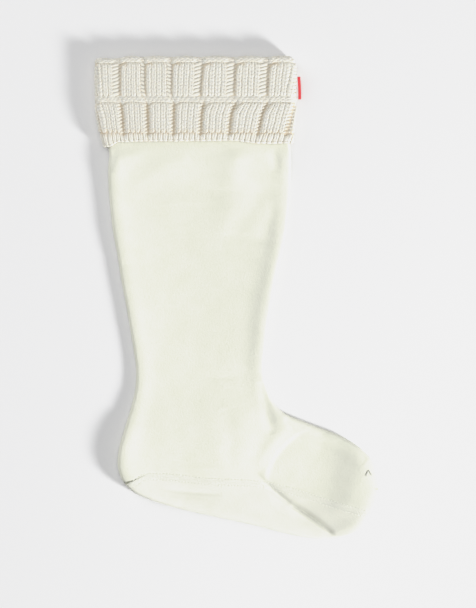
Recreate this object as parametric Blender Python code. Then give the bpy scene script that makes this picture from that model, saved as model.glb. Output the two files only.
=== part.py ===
"""Tall fleece boot sock with a turned-down cable-knit cuff, lying flat on its side.

+X points to the toe, +Y up the leg and +Z up from the surface that the sock lies on. The origin is
under the middle of the sock. The near layer of each piece lies on its far layer, and the two are one
wall that turns round the back, front, sole and toe edges. Sizes are in millimetres; MM makes them
Blender's metres.
"""
import math
from collections import namedtuple

import bmesh
import bpy
import numpy as np

for old_object in list(bpy.data.objects):
    bpy.data.objects.remove(old_object)

MM = 0.001

# Cloth
FLEECE_WALL = 2.2  # polar fleece
KNIT_WALL = 3.2  # ground of the knitted cuff, without its cables
SEAM_GAP = 0.3  # between two pieces at a seam
CUFF_GAP = 0.45  # between the fleece and the cuff round it, whose facets come nearer than this
LAID_HEIGHT = 5.6  # both fleece layers where they lie on each other
LEAST_HEIGHT = 4.9  # in the bottom of a crease
MOST_HEIGHT = 8.2  # on the crest of a fold
HEIGHT_EASE = 0.4  # how softly the height levels off at its least and its most
TOP_ROUND = 4.2  # how far the folded edges round in from the outline, above
BOTTOM_ROUND = 3.0  # and below
MOST_ROUND = 0.3  # share of a short section that one of its edges may take

# Where the fleece keeps some spring and stands off the surface
ROLL_LOFT = 1.3  # along the folded edges
ROLL_PLACE = 6.0  # from the outline to the crest of that roll
ROLL_WIDTH = 7.5
FOOT_LOFT = 0.9  # in the whole foot, which starts below the ankle
FOOT_START = -75.0
FOOT_BLEND = 60.0

# Cuff
CUFF_TOP = 214.5
CUFF_HEM = 135.3
FLEECE_TOP = 206.5  # the fleece ends here, against the lip of the cuff's turned top
HEM_RAMP = 26.0  # length over which the leg comes down from the cuff's far wall to the surface
HEM_BLEND = 12.0  # length over which the leg's own folds begin below the hem
HEM_SLOPE = 0.9 / 85.0  # the hem hangs a little lower at the back of the leg than at the front
HEM_SLOPE_REACH = 16.0
CABLE_HEIGHT = 2.2
CROSSING = 176.2  # the band where the cables cross, between the two rows of panels
CROSSING_HALF = 3.0
CROSSING_LOFT = 0.7  # the cable's share that bridges the gutters there
ABOVE_BAND = (0.5, 1.2)  # depth, as a share of the cable, and half width of the notch above the band
BELOW_BAND = (0.3, 1.4)
TOP_NOTCH = 208.8  # where the upper panels start under the turned top
BELOW_TOP = (0.35, 1.6)
RIB_TOP = 142.4  # edging of short ribs along the hem
RIB_LOW = 0.7
RIB_HIGH = 1.6
RIB_BLEND = 3.0
HEM_EDGE = 2.0  # length over which the hem thins to its ground
EDGE_RELIEF = 0.25  # the cables' share that is left at the outline

# Label
LABEL_TOP = 195.8
LABEL_LENGTH = 17.8
LABEL_REACH = 2.7
LABEL_THICK = 1.3
LABEL_TILT = 0.8  # how much further its low end stands out
LABEL_ROWS = 5

# Mesh fineness
STEPS_PER_SECTION = 2
EDGE_ANGLES_TOP = (32.0, 61.0, 90.0)
EDGE_ANGLES_BOTTOM = (30.0, 60.0, 90.0)
FLEECE_TOP_COLUMNS = 30
FLEECE_BOTTOM_COLUMNS = 9
CUFF_TOP_COLUMNS = 68
CUFF_BOTTOM_COLUMNS = 11
CUFF_ROWS_PANELS = (0.0, 0.9, 2.8, 5.6, 8.2, 12.0, 19.0, 27.0, 34.0)  # all from the hem up
CUFF_ROWS_CROSSING = (37.6, 39.4, 41.2, 43.2, 44.2, 46.0)
CUFF_ROWS_UPPER = (50.0, 56.0, 63.0, 68.5, 71.5, 73.5, 75.2)
CUFF_ROWS_INSIDE = (64.0, 49.7, 35.0, 20.7, 14.5, 8.5, 3.0, 0.0)  # from the lip down
ROLL_ANGLES = (40.0, 90.0, 140.0)

# Where the outline crosses each section: back of the leg, heel and sole, then shin, instep and toe.
Section = namedtuple("Section", "name back_x back_y front_x front_y")
SECTIONS = (
    Section("cuff_top", -123.1, 214.5, 48.8, 214.5),
    Section("cuff_upper", -123.1, 190.0, 48.8, 190.0),
    Section("cuff_lower", -121.6, 158.0, 47.6, 158.0),
    Section("cuff_hem", -117.0, 139.0, 46.2, 139.0),
    Section("under_hem", -114.2, 129.0, 47.2, 129.0),
    Section("below_cuff", -115.0, 117.0, 47.6, 117.0),
    Section("calf_high", -115.0, 102.0, 47.1, 102.0),
    Section("calf", -113.4, 81.0, 45.9, 81.0),
    Section("calf_low", -110.9, 59.6, 43.5, 59.6),
    Section("shin_high", -107.0, 38.3, 40.0, 38.3),
    Section("shin", -103.7, 16.9, 35.4, 16.9),
    Section("shin_low", -99.6, -4.5, 31.2, -4.5),
    Section("leg_low", -95.9, -25.8, 27.3, -25.8),
    Section("ankle_high", -92.4, -47.2, 25.0, -47.2),
    Section("ankle", -90.3, -65.0, 23.8, -64.0),
    Section("ankle_low", -91.3, -82.0, 25.2, -75.0),
    Section("heel_top", -95.4, -99.0, 27.6, -83.2),
    Section("heel_high", -101.4, -118.8, 30.6, -90.6),
    Section("heel_back", -106.2, -137.5, 33.9, -95.4),
    Section("heel", -106.5, -151.0, 37.0, -98.8),
    Section("heel_corner", -102.3, -162.6, 40.4, -101.6),
    Section("heel_under", -93.0, -172.3, 44.3, -103.8),
    Section("sole_back", -78.1, -179.3, 48.4, -105.7),
    Section("sole_arch", -58.5, -185.6, 52.8, -107.5),
    Section("arch", -35.3, -191.4, 57.4, -109.2),
    Section("arch_front", -10.4, -196.7, 62.6, -111.3),
    Section("ball_back", 14.5, -202.2, 68.8, -113.7),
    Section("ball", 37.6, -208.2, 76.0, -116.4),
    Section("ball_front", 58.1, -212.5, 84.8, -119.8),
    Section("toe_back", 77.7, -214.4, 94.6, -124.2),
    Section("toe_low", 95.5, -212.8, 104.4, -130.0),
    Section("toe", 109.0, -207.4, 111.8, -135.8),
    Section("toe_front", 117.0, -199.6, 118.2, -142.8),
    Section("toe_round", 121.8, -190.2, 122.9, -150.4),
    Section("toe_end", 125.0, -180.0, 125.8, -159.6),
)
TOE_TIP = (127.1, -169.6)

# Creases (negative) and ridges (positive) of the near layer, each along a bent line of three points.
Fold = namedtuple("Fold", "name start middle end half_width height")
FOLDS = (
    Fold("shin_valley", (34.0, 50.0), (17.0, 12.0), (12.5, -64.0), 8.0, -1.5),
    Fold("shin_ridge", (41.0, 54.0), (28.5, 12.0), (20.5, -50.0), 6.5, 1.5),
    Fold("instep_crease", (22.0, -84.0), (33.0, -102.0), (44.0, -118.0), 6.0, -1.8),
    Fold("ankle_crease", (23.5, -92.0), (21.0, -124.0), (23.5, -152.0), 6.5, -1.2),
    Fold("ankle_ridge", (45.0, -119.0), (36.0, -137.0), (25.0, -152.0), 7.0, 1.5),
    Fold("sole_crease", (24.0, -168.0), (55.0, -191.0), (84.0, -208.5), 5.5, -2.0),
    Fold("sole_ridge", (18.0, -182.0), (44.0, -202.0), (68.0, -211.0), 7.0, 1.0),
    Fold("toe_hollow", (97.0, -153.0), (95.0, -174.0), (86.0, -192.0), 12.0, -2.2),
    Fold("toe_puff", (117.0, -149.0), (119.5, -171.0), (111.0, -192.0), 9.0, 1.4),
    Fold("instep_ridge", (52.0, -116.0), (80.0, -130.0), (108.0, -142.0), 9.0, 1.2),
    Fold("heel_puff", (-98.0, -128.0), (-94.0, -148.0), (-74.0, -162.0), 14.0, 1.0),
    Fold("ankle_fold", (-36.0, -69.0), (-14.0, -71.0), (8.0, -69.5), 6.0, -0.8),
    Fold("heel_crease", (-64.0, -171.0), (-40.0, -174.0), (-14.0, -175.0), 5.0, -0.9),
    Fold("cuff_dip_middle", (-14.0, 134.0), (-15.0, 124.0), (-19.0, 113.0), 8.0, -0.8),
    Fold("cuff_dip_front", (34.0, 134.0), (39.0, 124.0), (43.0, 112.0), 5.0, -0.9),
    Fold("cuff_dip_back", (-100.0, 133.0), (-104.0, 127.0), (-108.0, 119.0), 4.5, -0.9),
    Fold("calf_ridge", (-104.0, 96.0), (-78.0, 114.0), (-42.0, 124.0), 12.0, 0.8),
)

# The purl gutters between the cables: where each crosses the top, the crossing band and the hem.
Gutter = namedtuple("Gutter", "top_x crossing_x hem_x")
GUTTERS = (
    Gutter(-131.0, -126.0, -116.3),
    Gutter(-107.9, -104.3, -100.6),
    Gutter(-82.9, -81.4, -79.8),
    Gutter(-59.4, -57.0, -56.7),
    Gutter(-35.8, -32.5, -33.6),
    Gutter(-6.9, -4.2, -7.7),
    Gutter(23.0, 25.0, 18.1),
    Gutter(57.0, 50.5, 40.9),
)
GUTTER_WIDTH_UPPER = 3.4
GUTTER_WIDTH_LOWER = 2.3

# Seam between the upper and the sole, from behind the heel to past the toe.
SEAM = (
    (-112.0, -172.0), (-98.5, -165.6), (-91.0, -160.6), (-82.5, -156.2), (-69.2, -155.8),
    (-26.4, -160.2), (22.5, -163.8), (46.5, -171.0), (73.2, -180.2), (95.5, -186.4),
    (121.5, -190.8), (134.0, -192.0),
)
SEAM_STEPS = 3
CUTTER_REACH = 40.0  # how far the seam cutters run past the sock


def smoothstep(value):
    """0 below 0, 1 above 1, with a soft rise between."""
    value = np.clip(value, 0.0, 1.0)
    return value * value * (3.0 - 2.0 * value)


def smooth_rows(rows, steps):
    """Rows on a smooth curve through the given ones, with a number of steps to each interval."""
    rows = np.array(rows, dtype=float)
    lengths = np.linalg.norm(np.diff(rows, axis=0), axis=1)
    along = np.concatenate([[0.0], np.cumsum(lengths)])
    slopes = np.gradient(rows, along, axis=0)
    fine = []
    for index, length in enumerate(lengths):
        for step in range(steps):
            t = step / steps
            fine.append(
                rows[index] * (2 * t**3 - 3 * t**2 + 1)
                + rows[index + 1] * (3 * t**2 - 2 * t**3)
                + slopes[index] * length * (t**3 - 2 * t**2 + t)
                + slopes[index + 1] * length * (t**3 - t**2)
            )
    fine.append(rows[-1])
    return np.array(fine)


def left_of(line):
    """Unit vectors to the left of a line's direction, at each of its points."""
    direction = np.gradient(line, axis=0)
    direction /= np.linalg.norm(direction, axis=1)[:, None]
    return np.column_stack([-direction[:, 1], direction[:, 0]])


def nearest_on_line(points, line):
    """Each point's distance to a line and the share of the line's points that lies before it."""
    starts = line[:-1]
    runs = np.diff(line, axis=0)
    share = ((points[:, None] - starts) * runs).sum(axis=2) / (runs**2).sum(axis=1)
    share = np.clip(share, 0.0, 1.0)
    gaps = np.linalg.norm(points[:, None] - starts - share[..., None] * runs, axis=2)
    nearest = gaps.argmin(axis=1)
    rows = np.arange(len(points))
    return gaps[rows, nearest], (nearest + share[rows, nearest]) / len(runs)


BACK_LINE, FRONT_LINE = np.split(
    smooth_rows([section[1:] for section in SECTIONS], STEPS_PER_SECTION), 2, axis=1
)
OUTLINE = np.vstack([BACK_LINE, [TOE_TIP], FRONT_LINE[::-1]])


def bent_line(start, middle, end, count=13):
    """Points on a curve that passes near the middle point."""
    t = np.linspace(0.0, 1.0, count)[:, None]
    return (1 - t) ** 2 * np.array(start) + 2 * t * (1 - t) * np.array(middle) + t**2 * np.array(end)


def fold_heights(points):
    """Sum of the creases and ridges at points seen from above."""
    total = np.zeros(len(points))
    for fold in FOLDS:
        distance, share = nearest_on_line(points, bent_line(fold.start, fold.middle, fold.end))
        ends = np.sqrt(np.clip(np.sin(math.pi * share), 0.0, 1.0))
        total += fold.height * ends * np.exp(-((distance / fold.half_width) ** 2))
    return total


def edge_loft(distance, y):
    """Extra height of the rolled edges and of the foot, which keeps some of its shape."""
    rolled = ROLL_LOFT * np.exp(-(((distance - ROLL_PLACE) / ROLL_WIDTH) ** 2))
    foot = FOOT_LOFT * smoothstep((FOOT_START - y) / FOOT_BLEND)
    return rolled + foot


def laid_height(points):
    """Height of the laid fleece from its underside to its top, at points seen from above."""
    distance, _ = nearest_on_line(points, OUTLINE)
    loose = smoothstep((CUFF_HEM - points[:, 1]) / HEM_BLEND)
    height = LAID_HEIGHT + loose * (edge_loft(distance, points[:, 1]) + fold_heights(points))
    height = LEAST_HEIGHT + soft_positive(height - LEAST_HEIGHT)
    height = MOST_HEIGHT - soft_positive(MOST_HEIGHT - height)
    return np.where(loose > 0.0, height, LAID_HEIGHT)


def soft_positive(value):
    """The value where it is above 0 and next to nothing below, with a rounded corner between."""
    return 0.5 * (value + np.sqrt(value**2 + HEIGHT_EASE**2))


def underside(y):
    """The leg's underside is flat on the surface and rises onto the cuff's far wall."""
    return (KNIT_WALL + SEAM_GAP) * smoothstep((y - CUFF_HEM + HEM_RAMP) / (HEM_RAMP - HEM_EDGE))


def inset_outline(inset):
    """Back line, front line and toe tip of a surface that lies inside the outer one."""
    back = BACK_LINE + inset * left_of(BACK_LINE)
    front = FRONT_LINE - inset * left_of(FRONT_LINE)
    tip = np.array(TOE_TIP) - (inset, 0.0)
    return back, front, tip


def across(length, radius, angles, count):
    """Positions across a section, close together where its two edges round."""
    edge = min(radius, MOST_ROUND * length)
    steps = [edge * (1.0 - math.cos(math.radians(angle))) for angle in angles]
    inner = np.linspace(steps[-1], length - steps[-1], count + 2)[1:-1]
    return np.array([*steps, *inner, *(length - step for step in reversed(steps))])


def rounding(distance, radius):
    """From 0 at the outline to 1 a radius inside it, along a quarter circle."""
    return np.sqrt(1.0 - (1.0 - np.clip(distance / radius, 0.0, 1.0)) ** 2)


def section_ring(back, front, inset, line, top_count, bottom_count):
    """One closed ring: from the back edge over the top to the front edge and back underneath."""
    length = np.linalg.norm(front - back)
    direction = (front - back) / length
    over = across(length, TOP_ROUND - inset, EDGE_ANGLES_TOP, top_count)
    under = across(length, BOTTOM_ROUND - inset, EDGE_ANGLES_BOTTOM, bottom_count)[::-1]
    positions = np.concatenate([[0.0], over, [length], under])
    sides = np.concatenate([[0.0], np.ones(len(over)), [0.0], -np.ones(len(under))])
    plan = back + positions[:, None] * direction
    height = laid_height(plan)
    middle = underside(plan[:, 1]) + height / 2
    distance, _ = nearest_on_line(plan, line)
    radius = np.where(sides > 0, TOP_ROUND, BOTTOM_ROUND) - inset
    z = middle + sides * (height / 2 - inset) * rounding(distance, radius)
    return np.column_stack([plan, z])


def fleece_rings(inset, first, step):
    """The rings of the whole fleece tube at one depth in its wall, and its toe tip."""
    back, front, tip = inset_outline(inset)
    line = np.vstack([back, [tip], front[::-1]])
    rings = [
        section_ring(back[k], front[k], inset, line, FLEECE_TOP_COLUMNS, FLEECE_BOTTOM_COLUMNS)
        for k in range(first, len(back), step)
    ]
    tip_height = laid_height(np.array([tip]))[0] / 2
    return rings, np.array([*tip, tip_height])


def metres(point):
    """A point in millimetres as Blender's metres."""
    return tuple(float(value) * MM for value in point)


def loft(bm, rings, closed=False):
    """Quads from each ring to the next, and round to the first again where the wall is closed."""
    verts = [[bm.verts.new(metres(point)) for point in ring] for ring in rings]
    pairs = list(zip(verts, verts[1:]))
    if closed:
        pairs.append((verts[-1], verts[0]))
    for ring, following in pairs:
        for k in range(len(ring)):
            n = (k + 1) % len(ring)
            bm.faces.new((ring[k], ring[n], following[n], following[k]))
    return verts


def make_material(name, color, roughness):
    material = bpy.data.materials.new(name)
    material.use_nodes = True
    shader = material.node_tree.nodes["Principled BSDF"]
    shader.inputs["Base Color"].default_value = (*color, 1.0)
    shader.inputs["Roughness"].default_value = roughness
    shader.inputs["Metallic"].default_value = 0.0
    return material


def make_object(name, bm, material=None):
    """The finished mesh as an object, with its faces pointing out."""
    bmesh.ops.recalc_face_normals(bm, faces=bm.faces)
    mesh = bpy.data.meshes.new(name)
    bm.to_mesh(mesh)
    bm.free()
    mesh.shade_smooth()
    item = bpy.data.objects.new(name, mesh)
    bpy.context.scene.collection.objects.link(item)
    if material:
        mesh.materials.append(material)
    return item


def fleece_tube(name, material):
    """Leg, foot and sole as one wall, open at the top."""
    first = int(np.argmax(BACK_LINE[:, 1] <= FLEECE_TOP))
    outer, outer_tip = fleece_rings(0.0, first, 1)
    inner, inner_tip = fleece_rings(FLEECE_WALL, first, 2)
    for ring in (outer[0], inner[0]):
        ring[:, 1] = FLEECE_TOP
    bm = bmesh.new()
    verts = loft(bm, [*inner[::-1], *outer])
    for ring, tip in ((verts[0], inner_tip), (verts[-1], outer_tip)):
        pole = bm.verts.new(metres(tip))
        for k in range(len(ring)):
            bm.faces.new((ring[k], ring[(k + 1) % len(ring)], pole))
    return make_object(name, bm, material)


def seam_cutter(name, side):
    """Everything on one side of the seam, 1 above it or -1 below, and half the gap past the seam."""
    line = smooth_rows(SEAM, SEAM_STEPS)
    line = line - side * SEAM_GAP / 2 * left_of(line)
    far_y = CUFF_TOP + CUTTER_REACH if side > 0 else -CUFF_TOP - CUTTER_REACH
    left, right = line[0][0] - CUTTER_REACH, line[-1][0] + CUTTER_REACH
    corners = [(left, line[0][1]), *line, (right, line[-1][1]), (right, far_y), (left, far_y)]
    bm = bmesh.new()
    face = bm.faces.new([bm.verts.new(metres((*corner, -CUTTER_REACH))) for corner in corners])
    raised = bmesh.ops.extrude_face_region(bm, geom=[face])["geom"]
    bmesh.ops.translate(
        bm,
        vec=(0.0, 0.0, 2 * CUTTER_REACH * MM),
        verts=[part for part in raised if isinstance(part, bmesh.types.BMVert)],
    )
    cutter = make_object(name, bm)
    cutter.hide_render = True
    cutter.display_type = "WIRE"
    return cutter


def cut(item, cutter):
    modifier = item.modifiers.new("seam", "BOOLEAN")
    modifier.operation = "DIFFERENCE"
    modifier.solver = "EXACT"
    modifier.object = cutter


def gutter_positions(y):
    """Where the gutters lie at a height on the cuff."""
    heights = (CUFF_HEM, CROSSING, CUFF_TOP)
    return np.array([np.interp(y, heights, (g.hem_x, g.crossing_x, g.top_x)) for g in GUTTERS])


def notch(y, place, depth, half_width):
    """Share of the cable that a cross notch takes away."""
    return depth * math.exp(-(((y - place) / half_width) ** 2))


def cable_relief(x, y, column):
    """How far the knit stands out from the cuff's ground at a point of its near side."""
    reach = np.abs(gutter_positions(y) - x).min()
    width = GUTTER_WIDTH_UPPER if y > CROSSING else GUTTER_WIDTH_LOWER
    panel = 1.0 - math.exp(-((reach / width) ** 2))
    bridge = CROSSING_LOFT * math.exp(-(((y - CROSSING) / CROSSING_HALF) ** 4))
    notches = (
        notch(y, CROSSING + CROSSING_HALF, *ABOVE_BAND)
        + notch(y, CROSSING - CROSSING_HALF, *BELOW_BAND)
        + notch(y, TOP_NOTCH, *BELOW_TOP)
    )
    cable = CABLE_HEIGHT * max(panel, bridge) * (1.0 - notches)
    rib = RIB_HIGH if column % 2 else RIB_LOW
    above_rib = float(smoothstep((y - RIB_TOP) / RIB_BLEND + 0.5))
    hem_round = float(smoothstep((y - CUFF_HEM) / HEM_EDGE + 0.3))
    return (above_rib * cable + (1.0 - above_rib) * rib) * hem_round


def edge_x(line, y):
    """Where the fleece's back or front edge lies at a height in the cuff."""
    straight = line[line[:, 1] > CUFF_HEM - HEM_RAMP]
    near = np.interp(-y, -straight[:, 1], straight[:, 0])
    return np.interp(-y - hem_slope(near, y), -straight[:, 1], straight[:, 0])


def cuff_ring(y, inset, relief):
    """One ring of the cuff; relief is the share of the cables' height that it carries."""
    middle = KNIT_WALL + SEAM_GAP + LAID_HEIGHT / 2
    left, right = (edge_x(line, y) for line in (BACK_LINE, FRONT_LINE))
    left, right = left + inset, right - inset
    length = right - left
    over = across(length, TOP_ROUND - inset, EDGE_ANGLES_TOP, CUFF_TOP_COLUMNS)
    under = across(length, BOTTOM_ROUND - inset, EDGE_ANGLES_BOTTOM, CUFF_BOTTOM_COLUMNS)[::-1]
    positions = np.concatenate([[0.0], over, [length], under])
    sides = np.concatenate([[0.0], np.ones(len(over)), [0.0], -np.ones(len(under))])
    ring = []
    for column, (position, side) in enumerate(zip(positions, sides)):
        edge = min(position, length - position)
        radius = (TOP_ROUND if side > 0 else BOTTOM_ROUND) - inset
        rise = float(rounding(edge, radius))
        lean = math.sqrt(1.0 - rise**2) * (-1.0 if position < length / 2 else 1.0)
        share = relief * (EDGE_RELIEF + (1.0 - EDGE_RELIEF) * rise if side >= 0 else 0.0)
        out = share * cable_relief(left + position, y, column) if share else 0.0
        z = middle + side * (LAID_HEIGHT / 2 - inset) * rise + out * rise
        ring.append((left + position + out * lean, y + hem_slope(left + position, y), z))
    return np.array(ring)


def hem_slope(x, y):
    """How far the slope of the hem moves a point of the cuff up."""
    return HEM_SLOPE * x * float(1.0 - smoothstep((y - CUFF_HEM) / HEM_SLOPE_REACH))


def knit_cuff(name, material):
    """The cuff's wall: out from the hem to the turned top, over it, and down inside to the hem."""
    outside = -(KNIT_WALL + SEAM_GAP)
    roll = (FLEECE_WALL - outside) / 2
    rows = CUFF_ROWS_PANELS + CUFF_ROWS_CROSSING + CUFF_ROWS_UPPER
    rings = [cuff_ring(CUFF_HEM + row, outside, 1.0) for row in rows]
    for angle in ROLL_ANGLES:
        turn = math.radians(angle)
        inset = outside + roll * (1.0 - math.cos(turn))
        y = CUFF_TOP - roll * (1.0 - math.sin(turn))
        rings.append(cuff_ring(y, inset, max(0.0, math.cos(turn))))
    lip = FLEECE_TOP + SEAM_GAP
    rings.append(cuff_ring(CUFF_TOP - roll, FLEECE_WALL, 0.0))
    rings.append(cuff_ring(lip, FLEECE_WALL, 0.0))
    rings.append(cuff_ring(lip, -CUFF_GAP, 0.0))
    rings += [cuff_ring(CUFF_HEM + row, -CUFF_GAP, 0.0) for row in CUFF_ROWS_INSIDE]
    bm = bmesh.new()
    loft(bm, rings, closed=True)
    return make_object(name, bm, material)


def label_tab(name, material):
    """A short ribbon folded double, sewn in at the cuff's front edge with its fold outwards."""
    outside = -(KNIT_WALL + SEAM_GAP)
    middle = KNIT_WALL + SEAM_GAP + LAID_HEIGHT / 2
    half = LABEL_THICK / 2
    rings = []
    for share in np.linspace(0.0, 1.0, LABEL_ROWS):
        y = LABEL_TOP - share * LABEL_LENGTH
        edge = cuff_ring(y, outside, 1.0)[:, 0].max() + SEAM_GAP
        out = edge + LABEL_REACH + LABEL_TILT * share
        profile = [(edge, -half), (out - half, -half)]
        for angle in (-45.0, 0.0, 45.0):
            turn = math.radians(angle)
            profile.append((out - half + half * math.cos(turn), half * math.sin(turn)))
        profile += [(out - half, half), (edge, half)]
        rings.append([(x, y, middle + z) for x, z in profile])
    bm = bmesh.new()
    verts = loft(bm, rings)
    bm.faces.new(verts[0])
    bm.faces.new(verts[-1])
    return make_object(name, bm, material)


fleece = make_material("cream_fleece", (0.807, 0.815, 0.745), 0.95)
knit = make_material("oatmeal_knit", (0.716, 0.688, 0.612), 0.9)
ribbon = make_material("red_ribbon", (0.92, 0.127, 0.136), 0.6)

below_seam = seam_cutter("below_seam", -1)
above_seam = seam_cutter("above_seam", 1)
cut(fleece_tube("leg_and_foot", fleece), below_seam)
cut(fleece_tube("sole", fleece), above_seam)
knit_cuff("knit_cuff", knit)
label_tab("label_tab", ribbon)
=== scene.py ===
import math
from collections import namedtuple

import bmesh
import bpy
import numpy as np
from mathutils import Matrix, Vector, noise


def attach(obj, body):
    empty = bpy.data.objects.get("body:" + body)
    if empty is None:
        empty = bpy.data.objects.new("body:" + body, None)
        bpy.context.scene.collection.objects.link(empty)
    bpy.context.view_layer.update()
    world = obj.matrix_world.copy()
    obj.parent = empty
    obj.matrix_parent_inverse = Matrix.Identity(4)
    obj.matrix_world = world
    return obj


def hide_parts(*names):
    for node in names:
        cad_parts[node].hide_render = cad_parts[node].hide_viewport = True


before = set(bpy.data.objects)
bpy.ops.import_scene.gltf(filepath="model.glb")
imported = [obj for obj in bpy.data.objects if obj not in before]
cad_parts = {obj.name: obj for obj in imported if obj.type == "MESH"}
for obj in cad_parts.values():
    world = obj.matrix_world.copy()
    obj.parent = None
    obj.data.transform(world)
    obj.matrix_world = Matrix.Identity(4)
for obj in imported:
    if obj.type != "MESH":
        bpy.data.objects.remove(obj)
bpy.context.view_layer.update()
mm = 0.001
noise.seed_set(3)  # or the yarns' unevenness would change from run to run

# The sock lies flat: +X to the toe, +Y up the leg, +Z up. All sizes below are millimetres.
# Where the outline crosses each section: back, heel and sole edge, then shin, instep and toe edge.
Section = namedtuple("Section", "backX backY frontX frontY")
sockSections = [Section(*row) for row in (
    (-123.1, 214.5, 48.8, 214.5),  # turned top of the cuff
    (-123.1, 190, 48.8, 190),
    (-121.6, 158, 47.6, 158),
    (-117, 139, 46.2, 139),  # cuff's hem
    (-114.2, 129, 47.2, 129),
    (-115, 117, 47.6, 117),
    (-115, 102, 47.1, 102),  # calf
    (-113.4, 81, 45.9, 81),
    (-110.9, 59.6, 43.5, 59.6),
    (-107, 38.3, 40, 38.3),
    (-103.7, 16.9, 35.4, 16.9),
    (-99.6, -4.5, 31.2, -4.5),
    (-95.9, -25.8, 27.3, -25.8),
    (-92.4, -47.2, 25, -47.2),  # ankle
    (-90.3, -65, 23.8, -64),
    (-91.3, -82, 25.2, -75),
    (-95.4, -99, 27.6, -83.2),
    (-101.4, -118.8, 30.6, -90.6),
    (-106.2, -137.5, 33.9, -95.4),  # heel
    (-106.5, -151, 37, -98.8),
    (-102.3, -162.6, 40.4, -101.6),
    (-93, -172.3, 44.3, -103.8),
    (-78.1, -179.3, 48.4, -105.7),  # sole
    (-58.5, -185.6, 52.8, -107.5),
    (-35.3, -191.4, 57.4, -109.2),
    (-10.4, -196.7, 62.6, -111.3),
    (14.5, -202.2, 68.8, -113.7),
    (37.6, -208.2, 76, -116.4),
    (58.1, -212.5, 84.8, -119.8),
    (77.7, -214.4, 94.6, -124.2),
    (95.5, -212.8, 104.4, -130),  # toe
    (109, -207.4, 111.8, -135.8),
    (117, -199.6, 118.2, -142.8),
    (121.8, -190.2, 122.9, -150.4),
    (125, -180, 125.8, -159.6),
)]
toeTip = (127.1, -169.6)
soleSeam = (
    (-112.0, -172.0), (-98.5, -165.6), (-91.0, -160.6), (-82.5, -156.2), (-69.2, -155.8),
    (-26.4, -160.2), (20.5, -163.0), (46.5, -168.6), (73.2, -176.8), (95.5, -183.6),
    (121.5, -189.8), (134.0, -191.6),
)

fleece = {
    "wall": 2.0,
    "laidHeight": 5.6,  # near and far layer on each other
    "leastHeight": 3.9,
    "mostHeight": 12.8,
    "heightEase": 0.4,
    "nearRound": 4.2,  # how far the folded edges round in from the outline
    "farRound": 3.0,
    "nearEdge": 2.5,
    "rollLoft": 1.3,
    "rollPlace": 6.0,
    "rollWidth": 7.5,
    "footLoft": 2.6,
    "footStart": -75.0,
    "footBlend": 60.0,
    "top": 206.5,
    "wave": 0.22,  # soft unevenness of the laid cloth
    "rowSpacing": 2.2,
    "footSpacing": 1.4,
    "hiddenSpacing": 6.0,  # under the cuff
    "heelSection": 20,  # after it the seam starts from the heel's outline
    "heelRows": 26,
    "toeRows": 6,
    "heelBend": 12.0,  # how far a row aims straight in before it turns to the instep
    "soleBend": 0.3,  # and how much further it does so along the sole, as a share of its length
    "soleBendFrom": -102.0,
    "soleBendOver": 60.0,
    "soleBendBelow": -170.0,
    "seamTop": -140.0,  # no row from further up crosses the seam
    "seamBlur": 14,  # rows over which the columns beside the seam are evened out
    "nearColumns": 76,
    "farColumns": 30,
    "soleNearColumns": 40,
    "soleFarColumns": 12,
    "edgeColumns": 8,
    "seamGap": 0.04,  # from the seam's line to each piece
    "seamRoll": 0.12,  # how deep the sewn edges roll down
    "seamRollWidth": 0.8,
    "grooveDepth": 0.12,  # pressed in by the outer threads of the flat seam
    "grooveWidth": 0.6,
    "seamMiddle": -2.9,  # the flat seam is sewn down on the sole's side
    "threadPlace": 2.8,
}

# Creases (negative) and ridges (positive), each along a bent line; the widths are to the left and
# right of its direction.
Fold = namedtuple("Fold", "start middle end left right height")


def foldTable(*rows):
    return [Fold(*row) for row in rows]


nearFolds = foldTable(
    ((45, 64), (26, 27), (24, -66), 4.5, 17, 2.3),  # ridge beside the shin's edge
    ((24, 100), (12, 78), (-8, 52), 9, 9, -1),
    ((34, 84), (24, 66), (24, 46), 6, 8, -0.6),
    ((-48, 84), (-40, 10), (-36, -150), 30, 30, -1.3),  # the leg's middle lies lower
    ((21, -74), (25, -98), (31, -121), 5, 5, -1.4),  # ankle
    ((46, -114), (31, -126), (19, -150), 6, 6, 1.1),
    ((40, -184), (58, -194), (78, -211.5), 3.5, 6, 0.6),
    ((44, -101), (86, -113), (118, -140), 7, 10, -2.6),  # the instep's edge lies low
    ((94, -112), (124, -166), (90, -230), 13, 19, 3.9),  # the toe's end stands up
    ((-95, -108), (-116, -166), (-60, -198), 17, 14, 2.9),  # heel
    ((-108, 160), (-112, 96), (-102, 30), 16, 12, 2.2),  # the back edge stands up
    ((-106, 70), (-100, 10), (-84, -84), 20, 12, 0.9),
    ((-36, -69), (-14, -71), (8, -69.5), 3, 3.5, -0.4),
    ((-64, -171), (-40, -174), (-14, -175), 3.5, 4, -0.7),
    ((-10, -98), (-5, -122), (-9, -152), 7, 9, -0.7),
    ((-96, 62), (-84, 16), (-82, -40), 12, 14, 0.5),
    ((2, 148), (-3, 122), (-6, 96), 12, 16, 2.1),  # below the cuff
    ((8, 116), (-2, 90), (-6, 56), 42, 18, 1.7),
    ((32, 146), (32, 126), (36, 112), 4.5, 5, -1.3),
    ((-102, 150), (-110, 128), (-114, 112), 4.5, 4.5, -1.6),
    ((-104, 90), (-80, 110), (-44, 126), 9, 11, 1.1),
    ((-102, 126), (-86, 131), (-60, 142), 5, 5, 1.3),
)
# Narrow creases of the near layer alone.
nearCreases = foldTable(
    ((20, -165), (44, -181.3), (83, -208.5), 2.6, 1.4, -1.9),  # across the sole
    ((48, -184), (66, -194), (85, -210), 3.2, 1.5, -1.9),
)
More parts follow.
